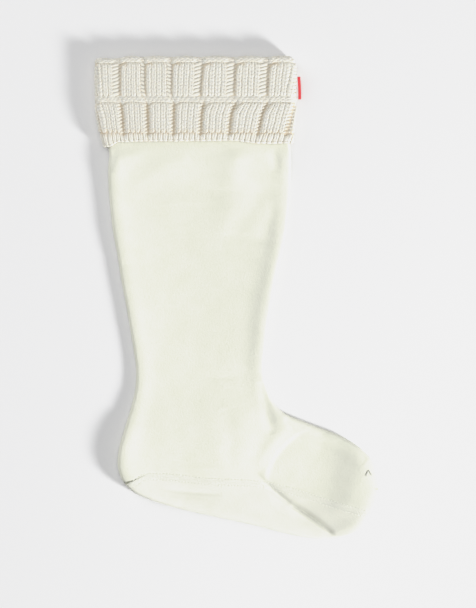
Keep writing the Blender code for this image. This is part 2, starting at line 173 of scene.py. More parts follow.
# Painted shade on the fleece: darker in the creases across the sole and behind it, along the hollow's
# back, in the toe's hollow and at the toe's end, with how dark in place of the height.
paintedShadeLines = foldTable(
    ((18, -155), (40, -180), (86, -209.5), 1.6, 1.2, 0.45),
    ((18, -155), (38, -178), (72, -200), 5, 1.2, 0.4),
    ((60, -194), (84, -188), (98, -172), 8, 8, 0.15),
    ((100, -116), (131, -166), (90, -226), 11, 12, 0.3),  # the toe's end
    ((44, -181), (64, -192), (87, -210.5), 2.6, 1.6, 0.22),
    ((22, -157), (32, -138), (60, -114), 1.2, 2.4, 0.12),
    ((-66, -171), (-42, -174.5), (-14, -175.5), 1.4, 1.4, 0.25),
)
# The upper foot falls in behind the ankle, rises to the toe and ends at the crease across the sole.
# A pair says where a slope starts and how long it is.
hollow = {
    "back": ((62.0, -112.0), (-4.0, -156.0), (44.0, -198.0)),
    "below": ((-3.0, -149.0), (43.0, -184.5), (103.0, -227.0)),
    "depth": 4.6,
    "softShare": 0.7,  # of it, reached gradually before the back line
    "softReach": 25.0,  # how far before the back line the soft slope goes on widening
    "softFrom": (8.0, 18.0),  # its start beyond the below line, and what is added further before
    "softOver": (14.0, 20.0),
    "softBack": (-50.0, 54.0),
    "softAnkle": (76.0, 40.0),  # down the leg
    "sharpBack": (0.0, 5.0),
    "sharpBelow": (1.5, 4.0),
    "edge": (3.0, 14.0),  # in from the outline
    "firstRise": 0.3,  # share of it
    "firstFrom": 92.0,  # along the line towards the toe
    "firstOver": 44.0,
    "lastRise": (128.0, 50.0),
}
farFolds = foldTable(
    ((-96, 92), (-60, 80), (-18, 84), 8, 8, 0.5),
    ((20, 60), (6, 20), (10, -30), 7, 9, 0.6),
    ((-70, -30), (-40, -44), (4, -40), 6, 7, 0.45),
    ((16, -96), (30, -112), (34, -140), 6, 6, 0.6),
    ((-84, -120), (-60, -130), (-34, -122), 7, 7, 0.4),
    ((40, -170), (62, -184), (88, -194), 6, 5, 0.55),
    ((84, -140), (92, -156), (88, -176), 7, 7, 0.5),
)


def smoothStep(value):
    value = np.clip(value, 0.0, 1.0)
    return value * value * (3.0 - 2.0 * value)


def rise(value, start, over):
    # 0 up to the start and 1 from start + over on
    return smoothStep((value - start) / over)


def bell(value, power=2):
    return np.exp(-(value**power))


def softPositive(value, ease):
    return 0.5 * (value + np.sqrt(value**2 + ease**2))


def smoothRows(rows, steps):
    rows = np.array(rows, dtype=float)
    lengths = np.linalg.norm(np.diff(rows, axis=0), axis=1)
    along = np.concatenate([[0.0], np.cumsum(lengths)])
    slopes = np.gradient(rows, along, axis=0)
    fine = []
    for index, length in enumerate(lengths):
        for step in range(steps[index]):
            t = step / steps[index]
            fine.append(
                rows[index] * (2 * t**3 - 3 * t**2 + 1)
                + rows[index + 1] * (3 * t**2 - 2 * t**3)
                + slopes[index] * length * (t**3 - 2 * t**2 + t)
                + slopes[index + 1] * length * (t**3 - t**2)
            )
    fine.append(rows[-1])
    return np.array(fine)


def bentLine(start, middle, end, count=17):
    t = np.linspace(0.0, 1.0, count)[:, None]
    return (1 - t) ** 2 * np.array(start) + 2 * t * (1 - t) * np.array(middle) + t**2 * np.array(end)


def runAlong(line):
    return np.concatenate([[0.0], np.cumsum(np.hypot(*np.diff(line, axis=0).T))])


def leftOf(line):
    direction = np.gradient(line, runAlong(line), axis=0)
    direction /= np.linalg.norm(direction, axis=1)[:, None]
    return np.column_stack([-direction[:, 1], direction[:, 0]])


def nearestOnLine(points, line, batch=3000):
    # distance to a line, positive on its left, and the share of the line that lies before it
    starts, runs = line[:-1], np.diff(line, axis=0)
    signed = np.empty(len(points))
    along = np.empty(len(points))
    for first in range(0, len(points), batch):
        part = slice(first, first + batch)
        off = points[part][:, None] - starts
        share = np.clip((off * runs).sum(axis=2) / (runs**2).sum(axis=1), 0.0, 1.0)
        off -= share[..., None] * runs
        gaps = np.hypot(off[..., 0], off[..., 1])
        best = gaps.argmin(axis=1)
        index = np.arange(len(best))
        side = runs[best, 0] * off[index, best, 1] - runs[best, 1] * off[index, best, 0]
        signed[part] = np.copysign(gaps[index, best], side)
        along[part] = (best + share[index, best]) / len(runs)
    return signed, along


def rowSteps():
    rows = np.array(sockSections)
    backRun = np.hypot(*np.diff(rows[:, :2], axis=0).T)
    frontRun = np.hypot(*np.diff(rows[:, 2:], axis=0).T)
    steps = []
    for index, run in enumerate(np.maximum(backRun, frontRun)):
        hidden = rows[index + 1, 1] > cuff["hem"]
        spacing = fleece["hiddenSpacing" if hidden else "rowSpacing"]
        if rows[index, 0] > 0.0:
            spacing = fleece["footSpacing"]
        steps.append(max(2, round(run / spacing)))
    steps[fleece["heelSection"]] = fleece["heelRows"]
    return steps


cuff = {
    "top": 214.5,
    "hem": 135.3,
    "rise": 3.5,  # how high the cuff's far wall lifts the fleece
    "hemRamp": 44.0,
    "hemEdge": 2.0,
    "hemBlend": 13.0,
    "hemSlope": 0.9 / 85.0,
    "hemLift": 4.4,  # and it lies higher between its corners
    "hemReach": 12.0,
    "lip": 206.8,
    "innerInset": -0.45,
    "lipInset": 2.2,
    "cableHeight": 1.8,
    "ribTop": 142.2,
    "lowerTop": 173.2,
    "upperBottom": 179.2,
    "upperTop": 208.6,
    "edgeRelief": 0.25,
    "groundSink": 1.08,  # the ground lies this far under the stitches' tops
    "yarnSink": 0.88,  # and the middle of their yarn this far
    "gutterLift": 0.65,
    "groundLift": 0.5,
}

fineRows = smoothRows(sockSections, rowSteps())
first = int(np.argmax(fineRows[:, 1] <= fleece["top"]))
fineRows = fineRows[first:]
fineRows[0, [1, 3]] = fleece["top"]
toeBends = np.array([(toeTip[0], -173.2), (toeTip[0], -163.7)])


def toeRow(share):
    # closes the outline round the toe's end
    t = math.sin(0.5 * math.pi * share)
    last = np.reshape(sockSections[-1], (2, 2))
    return ((1 - t) ** 2 * last + 2 * t * (1 - t) * toeBends + t**2 * np.array(toeTip)).ravel()


toeRows = [toeRow((k + 1) / fleece["toeRows"]) for k in range(fleece["toeRows"])]
fineRows = np.vstack([fineRows, toeRows])
backLine, frontLine = fineRows[:, :2], fineRows[:, 2:]
outline = np.vstack([backLine, frontLine[-2::-1]])
backInward = leftOf(backLine)
seamLine = smoothRows(soleSeam, [4] * (len(soleSeam) - 1))


def besideFold(points, fold):
    # 1 on the fold's line and less beside it, and the share of the line that lies before a point
    signed, share = nearestOnLine(points, bentLine(fold.start, fold.middle, fold.end))
    return bell(signed / np.where(signed > 0, fold.left, fold.right)), share


def foldHeights(points, folds):
    total = np.zeros(len(points))
    for fold in folds:
        beside, share = besideFold(points, fold)
        total += fold.height * np.sqrt(np.clip(np.sin(math.pi * share), 0.0, 1.0)) * beside
    return total


def footHollow(points, distance):
    behind, _ = nearestOnLine(points, bentLine(*hollow["back"]))
    below, _ = nearestOnLine(points, bentLine(*hollow["below"]))
    before = np.clip(-behind / hollow["softReach"], 0.0, 1.0)
    start, over = (near + more * before for near, more in (hollow["softFrom"], hollow["softOver"]))
    soft = smoothStep((below + start) / over)
    soft = soft * rise(behind, *hollow["softBack"]) * rise(-points[:, 1], *hollow["softAnkle"])
    sharp = rise(behind, *hollow["sharpBack"]) * rise(below, *hollow["sharpBelow"])
    inside = (sharp + hollow["softShare"] * (soft - sharp)) * rise(distance, *hollow["edge"])
    along = 0.87 * points[:, 0] - 0.5 * points[:, 1]
    first = np.clip((along - hollow["firstFrom"]) / hollow["firstOver"], 0.0, 1.0)
    first, last = hollow["firstRise"] * first, rise(along, *hollow["lastRise"])
    return hollow["depth"] * inside * (1.0 - first - (1.0 - hollow["firstRise"]) * last)


def clothWave(points):
    return np.array([
        noise.noise(Vector((x / 34.0, y / 46.0, 0.3)))
        + 0.5 * noise.noise(Vector((x / 13.0, y / 17.0, 4.1)))
        for x, y in points
    ])


def laidHeight(points, distance):
    y = points[:, 1]
    loose = smoothStep((cuff["hem"] - y) / cuff["hemBlend"])
    rolled = fleece["rollLoft"] * bell((distance - fleece["rollPlace"]) / fleece["rollWidth"])
    foot = fleece["footLoft"] * smoothStep((fleece["footStart"] - y) / fleece["footBlend"])
    extra = rolled + foot + foldHeights(points, nearFolds) + fleece["wave"] * clothWave(points)
    extra -= footHollow(points, distance)
    height = fleece["laidHeight"] + loose * extra
    least, most, ease = fleece["leastHeight"], fleece["mostHeight"], fleece["heightEase"]
    height = least + softPositive(height - least, ease)
    return most - softPositive(most - height, ease)


def riseOntoCuff(y):
    ramp = (y - cuff["hem"] + cuff["hemRamp"]) / (cuff["hemRamp"] - cuff["hemEdge"])
    return cuff["rise"] * smoothStep(ramp)


def rounding(distance, radius):
    return np.sqrt(1.0 - (1.0 - np.clip(distance / radius, 0.0, 1.0)) ** 2)


def seamRelief(points):
    # the two sewn edges roll down at the seam, and the outer threads press a groove on each side
    signed, _ = nearestOnLine(points, seamLine)
    roll = fleece["seamRoll"] * bell(signed / fleece["seamRollWidth"])
    off = np.abs(signed - fleece["seamMiddle"]) - fleece["threadPlace"]
    groove = fleece["grooveDepth"] * bell(off / fleece["grooveWidth"])
    return -roll - groove


def fleecePoint(points, side):
    # points seen from above, on the near (1) or far (-1) layer
    distance = np.abs(nearestOnLine(points, outline)[0])
    height = laidHeight(points, distance)
    middle = riseOntoCuff(points[:, 1]) + height / 2
    radius = np.where(side > 0, fleece["nearEdge"], fleece["farRound"])
    share = rounding(distance, radius)
    nearLift = seamRelief(points) + foldHeights(points, nearCreases)
    lift = np.where(side > 0, nearLift, foldHeights(points, farFolds) - 0.5 * seamRelief(points))
    z = middle + side * height / 2 * share + lift * share
    return np.column_stack([points, z])


def rowCurve(index, samples=72):
    # runs in from the back or sole edge and bends to the instep
    back, front = backLine[index], frontLine[index]
    further = rise(back[0], fleece["soleBendFrom"], fleece["soleBendOver"])
    further *= back[1] < fleece["soleBendBelow"]
    reach = fleece["heelBend"] + np.linalg.norm(front - back) * fleece["soleBend"] * further
    return bentLine(back, back + backInward[index] * reach, front, samples)


def edgeSpots(count):
    return 1.0 - np.cos(np.linspace(0.0, 0.5 * math.pi, count))


def spread(start, end, columns):
    # positions from start to end, close together towards both
    length = end - start
    edge = min(fleece["nearRound"], 0.3 * length)
    spots = edge * edgeSpots(fleece["edgeColumns"])
    inner = np.linspace(edge, length - edge, columns + 2)[1:-1]
    return start + np.concatenate([spots, inner, (length - spots)[::-1]])


class SockRow:
    def __init__(self, index):
        self.index = index
        self.curve = rowCurve(index) if index < len(backLine) - 1 else np.tile(toeTip, (2, 1))
        self.along = runAlong(self.curve)
        self.length = self.along[-1]
        self.seam = self.seamPlace()

    def at(self, places):
        return np.column_stack([np.interp(places, self.along, line) for line in self.curve.T])

    def seamPlace(self):
        if self.length < 1.0 or self.curve[0, 1] > fleece["seamTop"]:
            return 0.0
        fine = np.linspace(0.0, 0.6 * self.length, 400)
        signed, _ = nearestOnLine(self.at(fine), seamLine)
        below = signed < 0
        if not below[0]:
            return 0.0
        return fine[int(np.argmin(below))]


sockRows = [SockRow(index) for index in range(len(backLine))]
seamStarts = np.array([row.seam for row in sockRows])
reach = fleece["seamBlur"]
blur = bell(np.arange(-reach, reach + 1) / (reach / 2))
easedStarts = np.convolve(np.pad(seamStarts, reach, mode="edge"), blur / blur.sum(), mode="valid")
print("rows across the sock:", len(sockRows))


def gridMesh(name, across, along, place, material):
    # a grid bent into place; place takes the columns and rows and gives millimetres
    bm = bmesh.new()
    bm.loops.layers.uv.new("UVMap")
    bmesh.ops.create_grid(bm, x_segments=across, y_segments=along, size=0.5, calc_uvs=True)
    spots = (np.array([vert.co[:2] for vert in bm.verts]) + 0.5) * (across, along)
    for vert, point in zip(bm.verts, place(*np.rint(spots).astype(int).T)):
        vert.co = point * mm
    bmesh.ops.remove_doubles(bm, verts=bm.verts, dist=0.02 * mm)
    bmesh.ops.dissolve_degenerate(bm, edges=bm.edges, dist=0.002 * mm)
    bmesh.ops.recalc_face_normals(bm, faces=bm.faces)
    return finishMesh(name, bm, material)


def finishMesh(name, bm, material):
    mesh = bpy.data.meshes.new(name)
    bm.to_mesh(mesh)
    bm.free()
    mesh.shade_smooth()
    mesh.materials.append(material)
    item = bpy.data.objects.new(name, mesh)
    bpy.context.scene.collection.objects.link(item)
    return item


def closeEnds(item):
    bm = bmesh.new()
    bm.from_mesh(item.data)
    bmesh.ops.holes_fill(bm, edges=[edge for edge in bm.edges if edge.is_boundary])
    bmesh.ops.recalc_face_normals(bm, faces=bm.faces)
    bm.to_mesh(item.data)
    bm.free()


def setShade(item, name, values):
    shade = item.data.attributes.new(name, "FLOAT", "POINT")
    shade.data.foreach_set("value", np.clip(values, 0.0, 1.0))


def bakeModifiers(item):
    depsgraph = bpy.context.evaluated_depsgraph_get()
    baked = bpy.data.meshes.new_from_object(item.evaluated_get(depsgraph))
    item.modifiers.clear()
    item.data = baked


def addNode(tree, kind, sockets=(), **values):
    node = tree.nodes.new(kind)
    for key, value in values.items():
        setattr(node, key, value)
    for socket, value in sockets:
        node.inputs[socket].default_value = value
    return node


def newMaterial(name, roughness, specular=0.5, sheen=0.0):
    material = bpy.data.materials.new(name)
    material.use_nodes = True
    shader = material.node_tree.nodes["Principled BSDF"]
    shader.inputs["Roughness"].default_value = roughness
    shader.inputs["Specular IOR Level"].default_value = specular
    if sheen:
        shader.inputs["Sheen Weight"].default_value = sheen
        shader.inputs["Sheen Roughness"].default_value = 0.6
    return material, material.node_tree, shader


def noiseOn(tree, coordinates, scale, detail=2.0, roughness=0.5):
    sockets = (("Scale", scale), ("Detail", detail), ("Roughness", roughness))
    node = addNode(tree, "ShaderNodeTexNoise", sockets)
    tree.links.new(coordinates, node.inputs["Vector"])
    return node.outputs["Fac"]


def attributeOf(tree, name):
    return addNode(tree, "ShaderNodeAttribute", attribute_name=name).outputs["Fac"]


def rampOn(tree, value, dark, light):
    ramp = addNode(tree, "ShaderNodeValToRGB")
    for element, place, color in zip(ramp.color_ramp.elements, (0.3, 0.7), (dark, light)):
        element.position = place
        element.color = (*color, 1.0)
    tree.links.new(value, ramp.inputs["Fac"])
    return ramp.outputs["Color"]


def bumpOn(tree, height, distance, strength=1.0, before=None):
    sockets = (("Strength", strength), ("Distance", distance * mm))
    bump = addNode(tree, "ShaderNodeBump", sockets)
    tree.links.new(height, bump.inputs["Height"])
    if before is not None:
        tree.links.new(before, bump.inputs["Normal"])
    return bump.outputs["Normal"]


def fleeceMaterial(name, pale, deep):
    material, tree, shader = newMaterial(name, 0.95, 0.1, 0.25)
    coordinates = addNode(tree, "ShaderNodeTexCoord").outputs["Object"]
    patches = noiseOn(tree, coordinates, 55.0, 3.0, 0.6)
    paintedFleeceShade = tuple(0.62 * value for value in deep)  # painted shade colour, mixed in by the attribute
    mixed = addNode(tree, "ShaderNodeMix", [("B", (*paintedFleeceShade, 1.0))], data_type="RGBA")
    tree.links.new(attributeOf(tree, "paintedFleeceShade"), mixed.inputs["Factor"])
    tree.links.new(rampOn(tree, patches, deep, pale), mixed.inputs["A"])
    tree.links.new(mixed.outputs["Result"], shader.inputs["Base Color"])
    nap = bumpOn(tree, noiseOn(tree, coordinates, 620.0, 3.0, 0.65), 0.5, 0.55)
    fibres = bumpOn(tree, noiseOn(tree, coordinates, 2600.0), 0.16, 0.6, nap)
    tree.links.new(fibres, shader.inputs["Normal"])
    return material


def yarnMaterial(name, pale, deep):
    # the painted shade attribute is 1 deep between the stitches of the gutters and 0 on the cables;
    # noise adds the yarn's uneven tone
    material, tree, shader = newMaterial(name, 0.9, 0.1, 0.2)
    coordinates = addNode(tree, "ShaderNodeTexCoord").outputs["Object"]
    colors = (("A", (*pale, 1.0)), ("B", (*deep, 1.0)))
    mixed = addNode(tree, "ShaderNodeMix", colors, data_type="RGBA")
    blend = addNode(tree, "ShaderNodeMath", [(1, 0.22)], operation="MULTIPLY_ADD")
    tree.links.new(noiseOn(tree, coordinates, 420.0), blend.inputs[0])
    tree.links.new(attributeOf(tree, "paintedShade"), blend.inputs[2])
    tree.links.new(blend.outputs[0], mixed.inputs["Factor"])
    tree.links.new(mixed.outputs["Result"], shader.inputs["Base Color"])
    shader.inputs["Subsurface Weight"].default_value = 0.35
    shader.inputs["Subsurface Radius"].default_value = (1.0, 0.9, 0.75)
    shader.inputs["Subsurface Scale"].default_value = 0.9 * mm
    # the strands' plies turn round them
    along = addNode(tree, "ShaderNodeUVMap", uv_map="UVMap").outputs["UV"]
    spun = addNode(tree, "ShaderNodeVectorMath", [(1, (1.0, 2.2, 1.0))], operation="MULTIPLY")
    tree.links.new(along, spun.inputs[0])
    sockets = (("Scale", 1.3), ("Distortion", 0.6))
    plies = addNode(tree, "ShaderNodeTexWave", sockets, bands_direction="DIAGONAL")
    tree.links.new(spun.outputs[0], plies.inputs["Vector"])
    twist = bumpOn(tree, plies.outputs["Fac"], 0.22, 0.5)
    fibres = bumpOn(tree, noiseOn(tree, coordinates, 1500.0, 3.0, 0.7), 0.25, 0.5, twist)
    tree.links.new(fibres, shader.inputs["Normal"])
    return material


def plainCloth(name, color, scale, depth):
    material, tree, shader = newMaterial(name, 0.8)
    coordinates = addNode(tree, "ShaderNodeTexCoord").outputs["Object"]
    patches = noiseOn(tree, coordinates, scale)
    darker = tuple(0.86 * value for value in color)
    tree.links.new(rampOn(tree, patches, darker, color), shader.inputs["Base Color"])
    tree.links.new(bumpOn(tree, patches, depth, 0.7), shader.inputs["Normal"])
    return material


# the fleeces' deep colours give their uneven tone, and darkened they give the painted shade
creamFleece = fleeceMaterial("cream_fleece", (0.765, 0.772, 0.67), (0.735, 0.745, 0.635))
soleFleece = fleeceMaterial("sole_fleece", (0.78, 0.784, 0.692), (0.75, 0.756, 0.658))
# the yarn's deep colour serves both its uneven tone and the painted shade
oatmealYarn = yarnMaterial("oatmeal_yarn", (0.79, 0.775, 0.70), (0.64, 0.55, 0.42))
redRibbon = plainCloth("red_ribbon", (0.78, 0.065, 0.075), 900.0, 0.2)
seamThread = plainCloth("seam_thread", (0.85, 0.855, 0.78), 1500.0, 0.05)
greyThread = plainCloth("grey_thread", (0.5, 0.5, 0.48), 1500.0, 0.1)


def legSpots(row):
    # places along a row on the near layer, out from the seam or back edge, and back on the far one
    start = row.seam + (fleece["seamGap"] if row.seam else 0.0)
    eased = min(easedStarts[row.index], 0.7 * row.length)
    near = np.maximum(spread(eased, row.length, fleece["nearColumns"]), start)
    far = np.maximum(spread(eased, row.length, fleece["farColumns"]), start)
    near[0] = far[0] = start
    return near, far[::-1]


def soleSpots(row):
    end = max(row.seam - fleece["seamGap"], 0.0)
    eased = max(easedStarts[row.index], end)
    near = np.minimum(spread(0.0, eased, fleece["soleNearColumns"]), end)[::-1]
    far = np.minimum(spread(0.0, eased, fleece["soleFarColumns"]), end)
    near[0] = far[-1] = end
    return near, far


def paintFleeceShade(item):
    # paints shade on the near layer's upward faces: how dark it is in the creases, along the hollow's
    # back, in the toe's hollow and at the toe's end
    spots = np.array([(*vert.co, vert.normal.z) for vert in item.data.vertices])
    depth = np.zeros(len(spots))
    for fold in paintedShadeLines:
        beside, share = besideFold(spots[:, :2] / mm, fold)
        depth += fold.height * np.sin(math.pi * share) ** 0.4 * beside
    setShade(item, "paintedFleeceShade", depth * (spots[:, 3] > 0.2))


def fleecePiece(name, rowsOfPiece, spots, nearColumns, farColumns, material):
    nearCount = 2 * fleece["edgeColumns"] + nearColumns

    def place(columns, rows):
        plan = np.empty((len(columns), 2))
        for index, row in enumerate(rowsOfPiece):
            inRow = np.flatnonzero(rows == index)
            near, far = spots(row)
            places = np.concatenate([near, far[1:]])
            plan[inRow] = row.at(places[columns[inRow]])
        return fleecePoint(plan, np.where(columns < nearCount, 1.0, -1.0))

    across = 4 * fleece["edgeColumns"] + nearColumns + farColumns - 2
    item = gridMesh(name, across, len(rowsOfPiece) - 1, place, material)
    wall = item.modifiers.new("wall", "SOLIDIFY")
    wall.thickness = fleece["wall"] * mm
    wall.offset = -1.0
    wall.use_even_offset = False
    bakeModifiers(item)
    item.data.set_sharp_from_angle(angle=math.radians(50.0))  # crisp cut edges where cloths meet
    paintFleeceShade(item)
    print(name + ":", len(item.data.polygons), "faces")
    return item


footRows = [index for index, row in enumerate(sockRows) if row.seam > 0.0]
soleRows = sockRows[footRows[0] - 1: footRows[-1] + 2]
legPiece = fleecePiece("leg_and_foot_cloth", sockRows, legSpots,
                       fleece["nearColumns"], fleece["farColumns"], creamFleece)
solePiece = fleecePiece("sole_cloth", soleRows, soleSpots,
                        fleece["soleNearColumns"], fleece["soleFarColumns"], soleFleece)

# The purl gutters between the cables: where each runs at these heights.
Gutter = namedtuple("Gutter", "hemX bendX lowerX upperX topX hemWidth topWidth")
gutterHeights = (135.3, 163.0, 174.0, 179.2, 214.5)
nearGutters = [Gutter(*row) for row in (
    (-116.3, -122.5, -125.5, -127, -131, 4, 8),
    (-100.8, -102.7, -104.4, -107.3, -107.2, 4.2, 8.4),
    (-79.7, -80.4, -80.9, -83.4, -84.2, 4.4, 5),
    (-57.6, -57.1, -56.9, -60.7, -60, 4.2, 5.6),
    (-33.8, -32.4, -30.2, -35.7, -33.4, 4.4, 8.4),
    (-9, -6.2, -1.4, -6.1, -4.9, 4.4, 9),
    (15.3, 21.3, 26.6, 22.7, 25, 4.2, 9.4),
    (39.6, 47.2, 50, 51.5, 57, 4, 8),
)]
nearCount = len(nearGutters)
repeats = 14  # panels all round
stitch = {"width": 5.0, "height": 3.2, "lowerRows": 8, "upperRows": 9, "ribTop": 147.6}
knit = {
    "gutterSpread": 1.4,  # how softly the cables fall to the gutters
    "edgeFullness": 0.72,  # 1 is a round fold
    "archStart": 0.66,  # share of a panel's height where its top begins to close to an arch
    "archClose": 0.13,
    "archMiddle": 0.60,
    "archDropLeft": 3.2,
    "archDropRight": 0.9,
    "bandLoft": 0.45,
    "jitter": 0.22,
    "topWave": 0.9,
    "rightEase": 3.2,  # how far the top's front corner is rounded in
    "leftEase": 2.0,  # and its back corner sinks
    # where the cables are pressed in across: share of their relief and width
    "notches": (("upperBottom", 0.45, 1.1), ("lowerTop", 0.35, 1.1), ("upperTop", 0.4, 1.3)),
    "bandWidth": 3.6,
    "hookWidth": 1.25,  # of the painted dark line that hooks over each panel
    "hookDepth": 0.5,
    "bandHookDepth": 0.4,
}
yarnPaintedShade = {  # painted shade: how much of the deep colour
    "hook": 0.6,
    "panelEdge": 0.3,
    "bandEdge": 0.4,
    "ribTops": 0.3,
    "aboveRibs": 0.2,
    "ground": 0.3,
    "groundAboveRibs": 0.75,
}
Hook = namedtuple("Hook", "apex peak drop end")
hooks = (Hook(0.16, 208.2, 52.0, 0.4), Hook(0.08, 172.6, 130.0, 0.2))
cuffRows = fineRows[:40]  # enough of the outline to reach below the hem


def cuffEdges(y):
    # where the fleece's back and front edges lie at a height in the cuff
    rows = cuffRows[np.argsort(cuffRows[:, 1])]
    return np.interp(y, rows[:, 1], rows[:, 0]), np.interp(y, rows[:, 3], rows[:, 2])


class CuffSection:
    # measures round the cuff at given heights; w runs round it, and on its near side w is x
    def __init__(self, y):
        back, front = cuffEdges(y)
        half = fleece["laidHeight"] / 2 + cuff["rise"]
        nearRadius = fleece["nearRound"] + cuff["rise"]
        farRadius = fleece["farRound"] + cuff["rise"]
        self.nearArc = 0.5 * math.pi * math.sqrt((nearRadius**2 + half**2) / 2)
        self.farArc = 0.5 * math.pi * math.sqrt((farRadius**2 + half**2) / 2)
        self.nearBack, self.nearFront = back + fleece["nearRound"], front - fleece["nearRound"]
        self.farBack, self.farFront = back + fleece["farRound"], front - fleece["farRound"]
        self.start = self.nearBack - self.nearArc
        self.frontEdge = self.nearFront + self.nearArc
        self.around = self.frontEdge - self.start + 2 * self.farArc + self.farFront - self.farBack

    def place(self, w, inset):
        # seen along the leg: x and height, and how far a point is on the near side, from 1 to -1
        near = fleece["nearRound"] - inset
        far = fleece["farRound"] - inset
        half = fleece["laidHeight"] / 2 - inset
        middle = cuff["rise"] + fleece["laidHeight"] / 2
        d = np.mod(w - self.start, self.around)
        flat = 0 * d
        stops = np.cumsum([
            self.nearArc + flat, self.nearFront - self.nearBack, self.nearArc + flat,
            self.farArc + flat, self.farFront - self.farBack,
        ], axis=0)
        turns = (d / self.nearArc, (d - stops[1]) / self.nearArc,
                 (d - stops[2]) / self.farArc, (d - stops[4]) / self.farArc)
        a, b, c, e = (0.5 * math.pi * np.clip(turn, 0, 1) for turn in turns)
        fullness = knit["edgeFullness"]
        before = [d < stop for stop in stops]
        x = np.select(before, [
            self.nearBack - near * np.abs(np.cos(a)) ** fullness, self.nearBack + d - stops[0],
            self.nearFront + near * np.sin(b) ** fullness, self.farFront + far * np.cos(c),
            self.farFront - (d - stops[3]),
        ], self.farBack - far * np.sin(e))
        height = np.select(before, [
            np.sin(a) ** fullness, 1.0 + flat, np.abs(np.cos(b)) ** fullness, -np.sin(c), -1.0 + flat,
        ], -np.cos(e))
        return x, middle + half * height, height


def gutterLines(y):
    # w and width of every gutter round the cuff at given heights; the last is the first again
    near = np.array([np.interp(y, gutterHeights, gutter[:5]) for gutter in nearGutters])
    upper = rise(y, cuff["lowerTop"], cuff["upperBottom"] - cuff["lowerTop"])
    widths = np.array([g.hemWidth + (g.topWidth - g.hemWidth) * upper for g in nearGutters])
    around = CuffSection(y).around
    share = (np.arange(1, repeats - nearCount + 1) / (repeats - nearCount + 1))[:, None]
    far = near[-1] + share * (near[0] + around - near[-1])
    farWidths = np.repeat(widths[1:2], repeats - nearCount, axis=0)
    edge = 0 * widths[:1]  # plain round the back edge
    return np.vstack([near, far, near[:1] + around]), np.vstack([edge, widths[1:], farWidths, edge])


def hemSlope(x, y):
    # the hem is highest in its back half and falls to both corners
    lift = cuff["hemLift"] * rise(x, -114.0, 9.0) * (1.0 - 0.68 * rise(x, -5.0, 26.0))
    return (cuff["hemSlope"] * x + lift) * (1.0 - rise(y, cuff["hem"], cuff["hemReach"]))


def cuffPoints(w, t, out):
    # t runs up the outside, over the turned top and down inside; out stands off that surface
    roll = (cuff["lipInset"] + cuff["rise"]) / 2
    turnStart = cuff["top"] - roll
    turn = np.clip((t - turnStart) / (math.pi * roll), 0.0, 1.0) * math.pi
    down = np.maximum(t - turnStart - math.pi * roll, 0.0)
    inset = cuff["lipInset"] - roll - (roll + out) * np.cos(turn)
    y = np.where(t < turnStart, t, turnStart + (roll + out) * np.sin(turn) - down)
    section = CuffSection(np.clip(y, cuff["hem"], cuff["top"]))
    x, z, side = section.place(w, inset)
    topness = rise(y - cuff["top"], -12.0, 12.0)
    x = x - knit["rightEase"] * topness**2 * rise(x, 28.0, 22.0)
    y = y - knit["leftEase"] * topness * rise(-x, 92.0, 26.0)
    return np.column_stack([x, y + hemSlope(x, y), z])


def nearShare(w, t):
    # 1 on the near side, the edge's share on the outline and 0 on the far side
    _, _, side = CuffSection(np.clip(t, cuff["hem"], cuff["top"])).place(w, -cuff["rise"])
    edge = cuff["edgeRelief"]
    return np.where(side >= 0, edge + (1 - edge) * side, edge * np.clip(1 + 4 * side, 0, 1))


def cableRelief(w, t):
    # how far the cables stand out from the cuff's ground
    lines, widths = gutterLines(np.minimum(t, cuff["top"]))
    around = CuffSection(np.minimum(t, cuff["top"])).around
    wrapped = lines[0] + np.mod(w - lines[0], around)
    reach = np.maximum(np.abs(lines - wrapped) - 0.3 * widths, 0.0)[1:-1].min(axis=0)
    panel = 1.0 - bell(reach / knit["gutterSpread"])
    crossing = (cuff["lowerTop"] + cuff["upperBottom"]) / 2
    bridge = knit["bandLoft"] * bell((t - crossing) / knit["bandWidth"], 4)
    notches = sum(share * bell((t - cuff[place]) / width) for place, share, width in knit["notches"])
    relief = np.maximum(panel, bridge) * (1.0 - notches)
    over = smoothStep((cuff["top"] + 3.0 - t) / 8.0)
    crest = knit["topWave"] * (1.0 - bell(reach / 6.0)) * bell((t - cuff["top"] - 1.6) / 3.2)
    rib = rise(t - cuff["ribTop"], -2.0, 4.0)
    hemRound = smoothStep((t - cuff["hem"]) / 2.0 + 0.3)
    raised = (rib * relief + (1 - rib) * 0.5) * over * hemRound
    return (cuff["cableHeight"] * raised + crest) * nearShare(w, t)


def strandMesh(name, stations, material, across=8):
    # one strand: rows of x, y, out, half width and half height along it, closed at its ends
    stations = np.array(stations, dtype=float)
    middle, sizes = stations[:, :3], stations[:, 3:]
    direction = np.gradient(middle[:, :2], axis=0)
    direction /= np.linalg.norm(direction, axis=1)[:, None]
    sideways = np.column_stack([direction[:, 1], -direction[:, 0]])

    def place(columns, rows):
        angle = columns / across * 2 * math.pi
        flat = middle[rows, :2] + sideways[rows] * (sizes[rows, 0] * np.cos(angle))[:, None]
        return np.column_stack([flat, middle[rows, 2] + sizes[rows, 1] * np.sin(angle)])

    return gridMesh(name, across, len(stations) - 1, place, material)


def joined(name, parts):
    # copies of the parts' meshes in one new mesh; each part may be mirrored or moved first
    bm = bmesh.new()
    for part, mirror, shift in parts:
        copy = part.data.copy()
        if mirror:
            copy.transform(Matrix.Diagonal((-1.0, 1.0, 1.0, 1.0)))
            copy.flip_normals()
        copy.transform(Matrix.Translation(Vector(shift) * mm))
        bm.from_mesh(copy)
        bpy.data.meshes.remove(copy)
    item = finishMesh(name, bm, parts[0][0].data.materials[0])
    for part in {part for part, _, _ in parts}:
        bpy.data.objects.remove(part)
    return item


